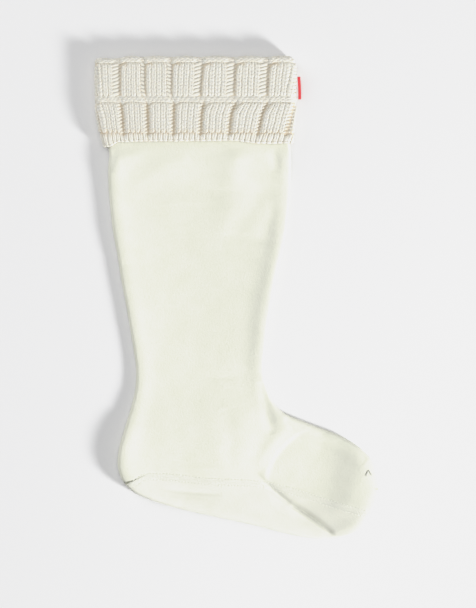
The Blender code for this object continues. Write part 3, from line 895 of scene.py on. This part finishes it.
def arrayed(item, counts, steps):
    # joins copies in rows and columns by Array modifiers and bakes them into the mesh
    for count, step in zip(counts, steps):
        if count < 2:
            continue
        array = item.modifiers.new("copies", "ARRAY")
        array.count = count
        array.use_relative_offset = False
        array.use_constant_offset = True
        array.constant_offset_displace = Vector(step) * mm
    bakeModifiers(item)
    return item


def chartOf(item):
    flat = np.empty(len(item.data.vertices) * 3)
    item.data.vertices.foreach_get("co", flat)
    return (flat.reshape(-1, 3) / mm).T


def setPoints(item, points):
    item.data.vertices.foreach_set("co", (points * mm).ravel())
    item.data.update()
    item.data.shade_smooth()


repeatStep = 100.0  # between two repeats while the stitches still lie in a flat chart


def wrapStitches(item, firstRepeat, place):
    # lifts the flat chart of stitches onto the cuff; place gives w, t, out and painted shade
    x, y, out = chartOf(item)
    repeat = np.floor((x + 30.0) / repeatStep).astype(int)
    w, t, out, paintedShade = place(repeat + firstRepeat, x - repeat * repeatStep, y, out)
    lumps = np.array([noise.noise_vector(Vector((a / 6.0, b / 6.0, 1.7))) for a, b in zip(w, t)])
    w, t = w + knit["jitter"] * 2 * lumps[:, 0], t + knit["jitter"] * 2 * lumps[:, 1]
    out = out + knit["jitter"] * lumps[:, 2] * nearShare(w, t)
    setPoints(item, cuffPoints(w, t, out))
    setShade(item, "paintedShade", paintedShade)
    return item


def betweenGutters(repeat, t):
    # the left and right gutter of a panel: where they run and how wide they are
    lines, widths = gutterLines(np.minimum(t, cuff["top"]))
    here = np.mod(repeat, repeats), np.arange(len(t))
    following = here[0] + 1, here[1]
    return lines[here], lines[following], widths[here], widths[following]


def archDrop(across):
    # how far a panel's rounded top falls towards its sides
    left = knit["archDropLeft"] * bell(across.clip(min=0) / 0.2)
    return left + knit["archDropRight"] * bell((1 - across).clip(min=0) / 0.2)


def hookShade(across, t):
    # the gutters' dark line hooks over each panel's first columns; it is painted shade, and the yarn
    # sinks there too
    total = 0.0
    for hook in hooks:
        line = hook.peak - hook.drop * (1.0 + (across < hook.apex)) * (across - hook.apex) ** 2
        ends = smoothStep((hook.end - across) / 0.08) * rise(across, -0.2, 0.1)
        total = total + bell((t - line) / knit["hookWidth"]) * ends
    return total


def panelPlace(bottom, top, rows, columns, inset):
    def place(repeat, x, y, out):
        share = y / (rows * stitch["height"])
        t = bottom + share * (top - bottom)
        left, right, leftWidth, rightWidth = betweenGutters(repeat, t)
        left, right = left + inset * leftWidth, right - inset * rightWidth
        arch = np.clip((share - knit["archStart"]) / (1 - knit["archStart"]), 0.0, 1.1)
        across = x / (columns * stitch["width"]) - knit["archMiddle"]
        across = knit["archMiddle"] + across * (1 - knit["archClose"] * arch**2)
        w = left + across * (right - left)
        t = t - archDrop(across) * arch
        hook = hookShade(across, t) * (t > cuff["ribTop"] + 6.0)
        edge = bell(np.minimum(across, 1 - across) / 0.05) * (inset > 0)
        # painted shade at the panels' edges beside the gutters, on the ribs' tops, just above the
        # ribs and along the hooks
        ribTops = rise(share, 0.6, 0.3) * (rows == 1)
        lowest = smoothStep((0.1 - share) / 0.06) * (bottom == stitch["ribTop"])
        paintedShade = yarnPaintedShade["panelEdge"] * edge + yarnPaintedShade["ribTops"] * ribTops
        paintedShade = paintedShade + yarnPaintedShade["aboveRibs"] * lowest + yarnPaintedShade["hook"] * hook
        out = out - knit["hookDepth"] * hook * nearShare(w, t)
        return w, t, cableRelief(w, t) - cuff["yarnSink"] + out, paintedShade

    return place


def gutterPlace(bottom, top, rows, chartWidth, paintedShadeOf):
    def place(repeat, x, y, out):
        t = bottom + y / (rows * stitch["height"]) * (top - bottom)
        left, _, leftWidth, _ = betweenGutters(repeat, t)
        w = left + x / chartWidth * leftWidth
        lift = cuff["gutterLift"] * nearShare(w, t)
        return w, t, cableRelief(w, t) - cuff["yarnSink"] + lift + out, paintedShadeOf(x)

    return place


def bandPlace(bottom, top, rows, columns, cell):
    def place(repeat, x, y, out):
        t = bottom + y / (rows * cell[1]) * (top - bottom)
        left, right, _, _ = betweenGutters(repeat, t)
        across = x / (columns * cell[0])
        w = left + across * (right - left)
        # the lowest rows follow the panels' tops
        inPanel = np.mod(across, 1.0)
        over = np.clip(1.0 - y / (2.2 * cell[1]), 0.0, 1.0) * (rows > 1)
        over = over * smoothStep(np.minimum(inPanel, 1 - inPanel) / 0.12)
        t = t - (archDrop(inPanel) - knit["archDropRight"]) * over
        hook = hookShade(inPanel - hooks[0].apex, t)
        # painted shade where the band meets the gutters and along the hooks
        edge = np.where((repeat == 0) & (across < 0.5), 1.0, np.minimum(inPanel, 1 - inPanel))
        paintedShade = yarnPaintedShade["bandEdge"] * bell(edge / 0.035) + yarnPaintedShade["hook"] * hook
        out = out - knit["bandHookDepth"] * hook * nearShare(w, t)
        return w, t, cableRelief(w, t) - cuff["yarnSink"] + out, paintedShade

    return place


# Strands of yarn in their flat chart: x, y, out, half width and half height along each.
kneeStrand = (
    (2.35, -1.6, -0.9, 0, 0),
    (2.15, -0.8, -0.2, 0.95, 0.6),
    (1.8, 0.4, 0, 1.3, 0.8),
    (1.4, 1.6, 0.02, 1.4, 0.8),
    (1.05, 2.8, -0.08, 1.25, 0.75),
    (0.85, 3.8, -0.35, 0.85, 0.6),
    (0.75, 4.6, -0.95, 0, 0),
)
slantStrand = (
    (-5.4, -1.7, -1.2, 0, 0),
    (-4, -1.1, -0.4, 1.2, 0.7),
    (-2, -0.3, 0, 1.5, 0.8),
    (0.6, 0.6, -0.05, 1.45, 0.8),
    (2.3, 1, -0.45, 1, 0.65),
    (3.6, 1, -0.8, 0.8, 0.5),
    (5, 0.8, -1.3, 0, 0),
)
rungStrand = (
    (-3.6, -0.5, -1.2, 0, 0),
    (-2.4, -0.3, -0.3, 1.3, 0.7),
    (-0.9, 0, -0.3, 1.15, 0.65),
    (0.5, 0.1, -0.6, 0.8, 0.55),
    (1.6, 0.2, -0.45, 0.95, 0.6),
    (2.6, 0.2, -0.5, 1.1, 0.6),
    (3.6, 0.3, -1.2, 0, 0),
)
sidewaysStrand = (
    (-2.9, -0.3, -0.7, 0, 0),
    (-2.1, -0.2, -0.1, 0.8, 0.42),
    (-0.8, 0, 0.08, 1, 0.48),
    (0.8, 0.05, 0.08, 1, 0.48),
    (2.1, 0.2, -0.1, 0.8, 0.42),
    (2.9, 0.3, -0.7, 0, 0),
)
ribStrand = (
    (2.4, -0.15, -0.9, 0, 0),
    (2.15, 0.15, -0.15, 1.2, 0.7),
    (1.75, 0.9, 0.05, 1.45, 0.8),
    (1.5, 1.7, 0, 1.35, 0.8),
    (1.65, 2.4, -0.25, 1, 0.7),
    (1.95, 2.9, -0.6, 0.8, 0.6),
    (2.15, 3.3, -1.1, 0, 0),
)
loopStrand = (
    (-2.9, -0.3, -0.8, 0, 0),
    (-1.8, 0, -0.1, 0.9, 0.65),
    (0, 0.15, 0.1, 1.1, 0.7),
    (1.8, 0, -0.1, 0.9, 0.65),
    (2.9, -0.3, -0.8, 0, 0),
)


# painted shade on the gutters' stitches, deepest where their dark column lies
def slantPaintedShade(x):
    return 0.05 + 0.55 * bell(x - 3.2)


def rungPaintedShade(x):
    return 0.1 + 0.75 * bell(x - 0.5)


def kneeStitch(name, strand=kneeStrand):
    leg = strandMesh("strand", strand, oatmealYarn)
    return joined(name, [(leg, False, (0, 0, 0)), (leg, True, (stitch["width"], 0, 0))])


def panelPiece(name, first, bottom, top, rows, strand=kneeStrand, columns=4, inset=0.42):
    # half of the cuff's panels, from the first on
    steps = ((stitch["width"], 0, 0), (0, stitch["height"], 0), (repeatStep, 0, 0))
    item = arrayed(kneeStitch(name, strand), (columns, rows, repeats // 2), steps)
    return wrapStitches(item, first, panelPlace(bottom, top, rows, columns, inset))


def gutterPiece(name, first, count, bottom, top, rows, stations, chartWidth, paintedShadeOf, slant=1.0):
    stations = [(x, slant * y, *rest) for x, y, *rest in stations]
    rung = joined(name, [(strandMesh("strand", stations, oatmealYarn), False, (0, 1.6, 0))])
    item = arrayed(rung, (rows, count), ((0, stitch["height"], 0), (repeatStep, 0, 0)))
    return wrapStitches(item, first, gutterPlace(bottom, top, rows, chartWidth, paintedShadeOf))


def bandPiece(name, bottom, top, rows, strand, cell, columns):
    yarn = strandMesh("strand", strand, oatmealYarn)
    shifts = [(cell[0] * (0.5 + 0.45 * (row % 2)), cell[1] * (row + 0.5), 0) for row in range(rows)]
    item = joined(name, [(yarn, False, shift) for shift in shifts])
    item = arrayed(item, (columns, repeats), ((cell[0], 0, 0), (repeatStep, 0, 0)))
    return wrapStitches(item, 0, bandPlace(bottom, top, rows, columns, cell))


def groundRows():
    # how far round each row lies: up the outside, over the turned top and down to the lip
    roll = (cuff["lipInset"] + cuff["rise"]) / 2
    turnStart = cuff["top"] - roll
    up = np.linspace(cuff["hem"], turnStart, 72)
    over = turnStart + np.linspace(0, math.pi * roll, 12)[1:]
    return np.concatenate([up, over, [turnStart + math.pi * roll + (turnStart - cuff["lip"])]])


def groundPlace(columns, rows):
    outside = groundRows()
    inner = np.linspace(cuff["lip"], cuff["hem"], innerRows)
    rows = rows % (len(outside) + innerRows)
    share = columns / groundColumns
    isOut = rows < len(outside)
    t = outside[np.minimum(rows, len(outside) - 1)]
    section = CuffSection(np.clip(t, cuff["hem"], cuff["top"]))
    w = section.start + share * section.around
    relief = cableRelief(w, t)
    filled = cuff["groundLift"] * smoothStep(1.0 - relief / 1.2) * nearShare(w, t)
    filled = filled * (t > cuff["hem"] + 3.0) * (t < cuff["top"])
    outward = cuffPoints(w, t, relief + filled - cuff["groundSink"])
    y = inner[np.clip(rows - len(outside), 0, innerRows - 1)]
    section = CuffSection(y)
    x, z, _ = section.place(section.start + share * section.around, cuff["innerInset"])
    inward = np.column_stack([x, y + hemSlope(x, y), z])
    return np.where(isOut[:, None], outward, inward)


# How deep the ground's painted shade is. A pair says where a line lies and how far it reaches beside
# it, or where a change starts and how long it is.
groundPaintedShade = {
    "stripe": (0.12, 0.28),  # in a gutter, as shares of its width
    "upperStripe": (0.38, 0.14),  # the same in the upper row
    "lastPanel": 24.0,  # from the last gutter on
    "archAcross": (0.1, 0.22),  # under the panels' tops, as shares of their width
    "archUp": (207.4, 2.2),
    "aboveRibs": (146.6, 1.8),
    "ribsEnd": (142.0, 3.0),  # plain on the ribs
    "upperRow": (176.0, 4.0),  # paler in the upper row
    "upperPaler": 0.4,
}


def lineBell(value, line):
    return bell((value - line[0]) / line[1], 4)


def paintGroundShade(item):
    # painted shade, deepest where the gutters' dark stitches lie, under the panels' tops and above
    # the ribs; the whole ground is painted somewhat darker
    x, y, _ = chartOf(item)
    lines, widths = gutterLines(np.clip(y, cuff["hem"], cuff["top"]))
    lines, widths = lines[:nearCount], widths[:nearCount]
    upper = rise(y, cuff["lowerTop"], cuff["upperBottom"] - cuff["lowerTop"])
    stripe = [a + (b - a) * upper for a, b in zip(groundPaintedShade["stripe"], groundPaintedShade["upperStripe"])]
    deep = lineBell((x - lines[1:]) / widths[1:], stripe).max(axis=0)
    spans = np.diff(np.vstack([lines, lines[-1:] + groundPaintedShade["lastPanel"]]), axis=0) - widths
    across = (x - lines - widths / 2) / spans
    arch = lineBell(across, groundPaintedShade["archAcross"]).max(axis=0)
    deep = np.maximum(deep, arch * lineBell(y, groundPaintedShade["archUp"]))
    deep = deep * rise(y, *groundPaintedShade["ribsEnd"])
    deep = deep * (1.0 - groundPaintedShade["upperPaler"] * rise(y, *groundPaintedShade["upperRow"]))
    aboveRibs = yarnPaintedShade["groundAboveRibs"] * lineBell(y, groundPaintedShade["aboveRibs"])
    deep = np.maximum(deep, aboveRibs)
    setShade(item, "paintedShade", yarnPaintedShade["ground"] + (1.0 - yarnPaintedShade["ground"]) * deep)


groundColumns = 300
innerRows = 30
across = len(groundRows()) + innerRows
groundPiece = gridMesh("cuff_ground", groundColumns, across, groundPlace, oatmealYarn)
paintGroundShade(groundPiece)
print("cuff's ground:", len(groundPiece.data.polygons), "faces")

lower = (stitch["ribTop"], cuff["lowerTop"], stitch["lowerRows"])
upper = (cuff["upperBottom"], cuff["upperTop"], stitch["upperRows"])
slants = (*upper, slantStrand, 8.4, slantPaintedShade)
rungs = (145.6, cuff["lowerTop"], 9, rungStrand, 4.2, rungPaintedShade)
sideways = (sidewaysStrand, (4.2, 1.6), 6)
ribs = (cuff["hem"] + 1.2, stitch["ribTop"], 1, ribStrand, 5, 0.0)
chain = (cuff["hem"] - 0.2, cuff["hem"] + 1.8, 1, loopStrand, (4.9, 2.0), 5)
cuffKnit = [
    panelPiece("cuff_panels_near_upper", 0, *upper),
    panelPiece("cuff_panels_near_lower", 0, *lower),
    panelPiece("cuff_panels_far_upper", 7, *upper),
    panelPiece("cuff_panels_far_lower", 7, *lower),
    gutterPiece("cuff_gutters_upper_left", 1, 1, *slants),
    gutterPiece("cuff_gutters_upper_middle", 2, 2, *slants, -1.0),
    gutterPiece("cuff_gutters_upper_right", 4, 10, *slants),
    gutterPiece("cuff_gutters_lower", 1, 13, *rungs),
    bandPiece("cuff_crossing_band", cuff["lowerTop"], cuff["upperBottom"], 4, *sideways),
    bandPiece("cuff_turned_top", cuff["upperTop"], 224.5, 10, *sideways),
    bandPiece("cuff_hem_chain", *chain),
    panelPiece("cuff_hem_ribs_near", 0, *ribs),
    panelPiece("cuff_hem_ribs_far", 7, *ribs),
]
stitchFaces = sum(len(item.data.polygons) for item in cuffKnit)
print("cuff's stitches:", stitchFaces, "faces in", len(cuffKnit), "pieces")

seam = {
    "pitch": 2.9,
    "dash": 2.3,
    "radius": 0.26,
    "rowLift": 0.12,
    "ladderPitch": 1.45,
    "ladderRadius": 0.18,
    "ladderLean": 0.7,
    "leastHeight": 0.02,  # over the floor
    "startIn": 2.4,  # from the outline
    "endIn": 3.0,
}


class SewnLine:
    def __init__(self, line):
        self.along = runAlong(line)
        self.columns = np.column_stack([line, leftOf(line)]).T

    def place(self, along, across):
        x, y, leftX, leftY = (np.interp(along, self.along, column) for column in self.columns)
        return np.column_stack([x + across * leftX, y + across * leftY])


def sewnPiece(name, strand, pitch, side, lift=0.0):
    # strands in their flat chart, x along the seam and y across it, laid on one side of the sock
    yarn = strandMesh("strand", strand, seamThread, 6)
    count = int((seamEnd - seamStart) / pitch)
    item = arrayed(joined(name, [(yarn, False, (0, 0, 0))]), (count,), ((pitch, 0, 0),))
    x, y, out = chartOf(item)
    plan = sewnSeam.place(seamStart + x, y + fleece["seamMiddle"])
    on = fleecePoint(plan, np.full(len(plan), side))
    on[:, 2] = np.maximum(on[:, 2] + side * (out + lift), seam["leastHeight"])
    setPoints(item, on)
    return item


def dashStrand(across, length, radius):
    half = length / 2
    return (
        (-half, across, -1.4 * radius, 0.0, 0.0),
        (-0.8 * half, across, -0.4 * radius, 0.85 * radius, 0.85 * radius),
        (0.0, across, 0.15 * radius, radius, radius),
        (0.8 * half, across, -0.4 * radius, 0.85 * radius, 0.85 * radius),
        (half, across, -1.4 * radius, 0.0, 0.0),
    )


def ladderStrand(lean, radius):
    place = fleece["threadPlace"]
    return (
        (-lean, -place, -1.2 * radius, 0.0, 0.0),
        (-0.8 * lean, -0.85 * place, -0.3 * radius, radius, radius),
        (0.0, 0.0, 0.0, radius, radius),
        (0.8 * lean, 0.85 * place, -0.3 * radius, radius, radius),
        (lean, place, -1.2 * radius, 0.0, 0.0),
    )


sewnSeam = SewnLine(seamLine)
probe = np.arange(0.0, sewnSeam.along[-1], 0.25)
onSock = probe[nearestOnLine(sewnSeam.place(probe, 0 * probe), outline)[0] > 0.0]
seamStart, seamEnd = onSock[0] + seam["startIn"], onSock[-1] - seam["endIn"]
ladder = ladderStrand(seam["ladderLean"], seam["ladderRadius"])
sewing = []
for side, layer in ((1.0, "near"), (-1.0, "far")):
    for place, row in ((-fleece["threadPlace"], "lower"), (fleece["threadPlace"], "upper")):
        strand = dashStrand(place, seam["dash"], seam["radius"])
        name = f"seam_{row}_row_{layer}"
        sewing.append(sewnPiece(name, strand, seam["pitch"], side, seam["rowLift"]))
    sewing.append(sewnPiece(f"seam_cover_{layer}", ladder, seam["ladderPitch"], side))

tail = {"segments": 6, "radius": 0.3, "lift": 0.25, "bow": 0.2}


def tailPiece(name, start, end):
    start, end = np.array(start), np.array(end)
    aside = np.array((start[1] - end[1], end[0] - start[0])) / np.hypot(*(end - start))

    def place(columns, rows):
        share = (rows / tail["segments"])[:, None]
        on = fleecePoint(start + share * (end - start), np.ones(len(rows)))
        angle = columns / tail["segments"] * 2 * math.pi
        arc = np.sin(math.pi * share[:, 0])
        radius = tail["radius"] * np.sqrt(np.clip(arc, 0.0, 1.0))
        on[:, :2] += (radius * np.cos(angle))[:, None] * aside
        on[:, 2] += tail["lift"] + tail["bow"] * arc + radius * np.sin(angle)
        return on

    return gridMesh(name, tail["segments"], tail["segments"], place, greyThread)


# two short ends of thread at the toe
tails = [
    tailPiece("toe_thread_left", (113.4, -158.6), (116.3, -152.4)),
    tailPiece("toe_thread_right", (116.2, -152.4), (119.3, -158.2)),
]
print("sewing:", sum(len(item.data.polygons) for item in sewing + tails), "faces")

label = {
    "topX": 53.1, "topY": 196.7,
    "endX": 53.9, "endY": 176.7,
    "reach": 2.5,
    "bow": 0.25,
    "thick": 1.1,
    "middle": 6.3,  # height over the floor
    "rows": 40,
    "columns": 24,
    "ribs": 0.06,
}


def labelPlace(columns, rows):
    # a folded ribbon seen from its edge: round it by columns, down it by rows
    share = rows / label["rows"]
    turn = columns / label["columns"] * 2 * math.pi
    # its closed end stands out from the cuff, and its cut ends go into the seam
    around = np.sign(np.cos(turn)) * np.abs(np.cos(turn)) ** 0.35
    high = np.sign(np.sin(turn)) * np.abs(np.sin(turn)) ** 0.6
    start = label["topX"] + share * (label["endX"] - label["topX"])
    start = start + label["bow"] * np.sin(math.pi * share)
    weave = label["ribs"] * (rows % 2)
    x = start + label["reach"] * (0.5 + 0.5 * around)
    y = label["topY"] + share * (label["endY"] - label["topY"])
    return np.column_stack([x, y, label["middle"] + (label["thick"] / 2 + weave) * high])


labelPiece = gridMesh("label_tab_ribbon", label["columns"], label["rows"], labelPlace, redRibbon)
closeEnds(labelPiece)
print("label:", len(labelPiece.data.polygons), "faces")

stage = {
    "floorSize": 3.0,
    "floorColor": (0.80, 0.80, 0.805, 1.0),
    "lens": 150.0,
    "sensor": 36.0,
    "seenHeight": 0.541,  # from the picture's top to its bottom, at the height of focus
    "focusHeight": 0.0045,
    "cameraPlace": (0.0003, -0.0053),
    # where each light is, how wide and how strong
    "window": ((1.56, -1.0, 0.735), 0.42, 50.5),
    "ceiling": ((-0.3, 0.4, 3.4), 3.4, 48.5),
    "fill": ((-1.2, 1.0, 0.8), 1.2, 10.8),
    "worldStrength": 0.2,
    # the brightest tones are eased, as a camera does
    "tones": ((0.35, 0.35), (0.7, 0.7), (0.86, 0.838), (1.05, 0.883), (1.5, 0.915)),
    "lastTone": (2.4, 0.94),
}


def addLight(name):
    place, size, power = stage[name]
    data = bpy.data.lights.new(name, "AREA")
    data.shape = "DISK"
    data.size = size
    data.energy = power
    item = bpy.data.objects.new(name, data)
    item.location = place
    item.rotation_euler = (Vector() - Vector(place)).to_track_quat("-Z", "Y").to_euler()
    bpy.context.scene.collection.objects.link(item)


def addFloor():
    bm = bmesh.new()
    bmesh.ops.create_grid(bm, x_segments=1, y_segments=1, size=stage["floorSize"])
    material, _, shader = newMaterial("pale_floor", 0.9, 0.1)
    shader.inputs["Base Color"].default_value = stage["floorColor"]
    floor = finishMesh("floor", bm, material)


def addCamera():
    data = bpy.data.cameras.new("camera")
    data.lens = stage["lens"]
    data.sensor_fit = "VERTICAL"
    data.sensor_height = stage["sensor"]
    height = stage["seenHeight"] * data.lens / data.sensor_height + stage["focusHeight"]
    item = bpy.data.objects.new("camera", data)
    item.location = (*stage["cameraPlace"], height)
    bpy.context.scene.collection.objects.link(item)
    bpy.context.scene.camera = item


def setTones():
    world = bpy.data.worlds.new("studio")
    world.use_nodes = True
    background = world.node_tree.nodes["Background"]
    background.inputs["Color"].default_value = (1.0, 1.0, 1.0, 1.0)
    background.inputs["Strength"].default_value = stage["worldStrength"]
    bpy.context.scene.world = world
    view = bpy.context.scene.view_settings
    view.view_transform = "Standard"
    view.use_curve_mapping = True
    tones = view.curve_mapping
    tones.use_clip = False
    tones.extend = "HORIZONTAL"
    curve = tones.curves[3]
    curve.points[1].location = stage["lastTone"]
    for tone in stage["tones"]:
        curve.points.new(*tone)
    tones.update()


addFloor()
addCamera()
for name in ("window", "ceiling", "fill"):
    addLight(name)
setTones()
print("floor, camera and lights")

cloths = (
    (legPiece, "leg_and_foot", "cream_fleece"),
    (solePiece, "sole", "sole_fleece"),
    (groundPiece, "knit_cuff", "oatmeal_knit"),
    (labelPiece, "label_tab", "red_ribbon"),
)
for piece, node, _ in cloths:
    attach(piece, "root")
    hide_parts(node)
for item in cuffKnit:
    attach(item, "root")
for item in sewing + tails:
    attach(item, "root")
